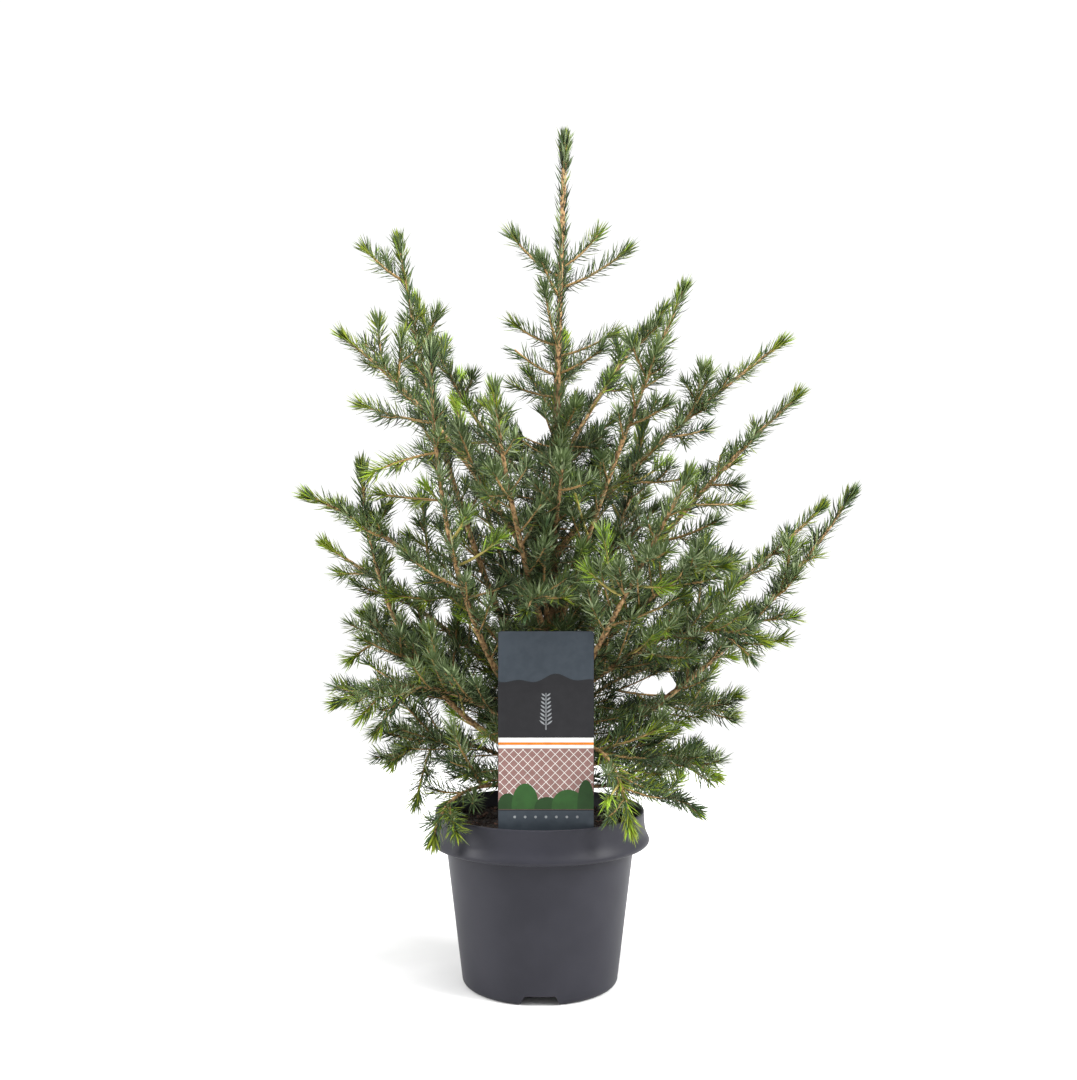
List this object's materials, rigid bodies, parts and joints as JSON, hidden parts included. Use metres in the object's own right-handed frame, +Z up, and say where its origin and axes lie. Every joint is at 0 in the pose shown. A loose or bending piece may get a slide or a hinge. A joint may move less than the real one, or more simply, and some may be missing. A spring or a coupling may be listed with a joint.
{
  "type": "potted serbian spruce",
  "caption": "Young spruce in a round nursery pot: a leaning leader, open ascending boughs with needled shoots, dark soil and a plain plant card on a spike.",
  "frame": {"origin": "middle of the pot's flat underside, where the pot stands", "axes": "+Z up along the pot's axis, -Y towards the side with the plant card, +X to the right of a viewer who faces the card"},
  "size_m": [0.4837, 0.3562, 0.7463],
  "materials": {
    "pot_plastic": "anthracite moulded polypropylene, satin",
    "potting_soil": "dark moist peat and bark bits",
    "label_card": "printed plastic card, semi-gloss",
    "spruce_bark": "thin orange-brown scaly bark",
    "spruce_needles": "flat needles, green above and blue-white beneath"
  },
  "bodies": {
    "root": {"bough_back_left_tall": "spruce_bark", "bough_back_middle": "spruce_bark", "bough_back_right_tall": "spruce_bark", "bough_front_left": "spruce_bark", "bough_front_right": "spruce_bark", "bough_left_outer": "spruce_bark", "bough_left_tall_back": "spruce_bark", "bough_left_tall_front": "spruce_bark", "bough_left_upper": "spruce_bark", "bough_left_upturned": "spruce_bark", "bough_left_wide": "spruce_bark", "bough_right_arching": "spruce_bark", "bough_right_long_front": "spruce_bark", "bough_right_middle": "spruce_bark", "bough_right_upper": "spruce_bark", "bough_right_wide": "spruce_bark", "foliage_back_drooping": "spruce_needles", "foliage_back_high": "spruce_needles", "foliage_back_left_low": "spruce_needles", "foliage_back_left_tall": "spruce_needles", "foliage_back_middle": "spruce_needles", "foliage_back_right_low": "spruce_needles", "foliage_back_right_tall": "spruce_needles", "foliage_front_high": "spruce_needles", "foliage_front_left": "spruce_needles", "foliage_front_right": "spruce_needles", "foliage_front_right_low": "spruce_needles", "foliage_front_short": "spruce_needles", "foliage_front_upright": "spruce_needles", "foliage_leader_lower": "spruce_needles", "foliage_leader_middle": "spruce_needles", "foliage_leader_tip": "spruce_needles", "foliage_leader_upper": "spruce_needles", "foliage_left_drooping": "spruce_needles", "foliage_left_high": "spruce_needles", "foliage_left_low": "spruce_needles", "foliage_left_lowest": "spruce_needles", "foliage_left_outer": "spruce_needles", "foliage_left_rim": "spruce_needles", "foliage_left_tall_back": "spruce_needles", "foliage_left_tall_front": "spruce_needles", "foliage_left_upper": "spruce_needles", "foliage_left_upturned": "spruce_needles", "foliage_left_wide": "spruce_needles", "foliage_right_arching": "spruce_needles", "foliage_right_drooping": "spruce_needles", "foliage_right_high": "spruce_needles", "foliage_right_inner": "spruce_needles", "foliage_right_long_front": "spruce_needles", "foliage_right_low": "spruce_needles", "foliage_right_lower": "spruce_needles", "foliage_right_middle": "spruce_needles", "foliage_right_rim": "spruce_needles", "foliage_right_upper": "spruce_needles", "foliage_right_wide": "spruce_needles", "plant_label": "label_card", "pot": "pot_plastic", "soil": "potting_soil", "trunk": "spruce_bark"}
  },
  "joints": []
}
